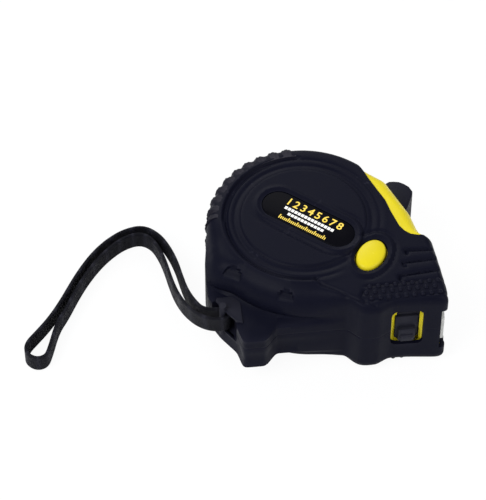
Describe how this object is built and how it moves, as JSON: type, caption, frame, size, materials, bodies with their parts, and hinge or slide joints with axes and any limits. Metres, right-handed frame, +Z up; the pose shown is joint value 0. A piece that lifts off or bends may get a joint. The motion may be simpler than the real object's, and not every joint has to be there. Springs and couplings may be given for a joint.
{
  "type": "tape measure",
  "caption": "Pocket tape measure lying on its side: rubber-gripped case, spring reel, curved blade with end hook, thumb lock, floor lock, side button and wrist strap.",
  "frame": {"origin": "where the reel axis meets the surface the tape lies on", "axes": "+Z up along the reel axis; +X towards the mouth and hook; +Y towards the top of the case as it is held"},
  "size_m": [0.1435, 0.0755, 0.0366],
  "materials": {
    "yellow_shell": "moulded ABS, satin gloss",
    "black_rubber": "soft over-moulded rubber, fine matt grain",
    "black_plastic": "moulded, fine texture",
    "label": "glossy printed badge",
    "steel": "bright zinc plate",
    "blade_paint": "yellow lacquer on spring steel",
    "hook_plate": "nickel plate",
    "strap": "smooth flexible vinyl band"
  },
  "bodies": {
    "case": {"case_shell_upper": "yellow_shell", "case_shell_lower": "yellow_shell", "grip_upper": "black_rubber", "grip_lower": "black_rubber", "tread_bumper": "black_rubber", "screw_covers": "black_rubber", "label_plate": "label", "case_screws": "steel", "centre_screw": "steel", "centre_post": "steel", "hook_bumper": "black_rubber", "mouth_guide": "black_plastic", "thumb_detent_spring": "steel", "bottom_lock_spring": "steel", "side_button_spring": "steel", "strap_pin": "steel", "strap_near_strand": "strap", "strap_far_strand": "strap"},
    "reel": {"reel_drum": "black_plastic", "reel_flange": "black_plastic", "blade_coil": "blade_paint", "power_spring": "steel"},
    "blade": {"blade_strip": "blade_paint", "hook_rivets": "steel"},
    "hook": {"end_hook": "hook_plate", "hook_magnets": "hook_plate"},
    "thumb_lock": {"thumb_lock_slider": "black_plastic", "thumb_brake_arm": "black_plastic", "thumb_brake_pad": "black_rubber"},
    "bottom_lock": {"bottom_lock_button": "black_plastic", "bottom_lock_pad": "black_rubber"},
    "side_button": {"side_button": "yellow_shell"}
  },
  "joints": [
    {"name": "reel_spin", "type": "hinge", "parent": "case", "child": "reel", "pos_m": [0, 0, 0.018], "axis": [0, 0, 1], "range_deg": [0, 88]},
    {"name": "blade_draw", "type": "slide", "parent": "case", "child": "blade", "axis": [1, 0, 0], "range_m": [0, 0.04]},
    {"name": "hook_float", "type": "slide", "parent": "blade", "child": "hook", "axis": [1, 0, 0], "range_m": [0, 0.001]},
    {"name": "thumb_lock_slide", "type": "slide", "parent": "case", "child": "thumb_lock", "axis": [0.3867, -0.9222, 0], "range_m": [0, 0.006]},
    {"name": "bottom_lock_press", "type": "slide", "parent": "case", "child": "bottom_lock", "axis": [0, 1, 0], "range_m": [0, 0.002], "stiffness_N_per_m": 800, "deforming": ["bottom_lock_spring"]},
    {"name": "side_button_press", "type": "slide", "parent": "case", "child": "side_button", "axis": [0, 0, -1], "range_m": [0, 0.0013], "stiffness_N_per_m": 800, "deforming": ["side_button_spring"]}
  ],
  "couplings": [
    {"joint": "blade_draw", "follows": "reel_spin", "m_per_rad": 0.026}
  ]
}
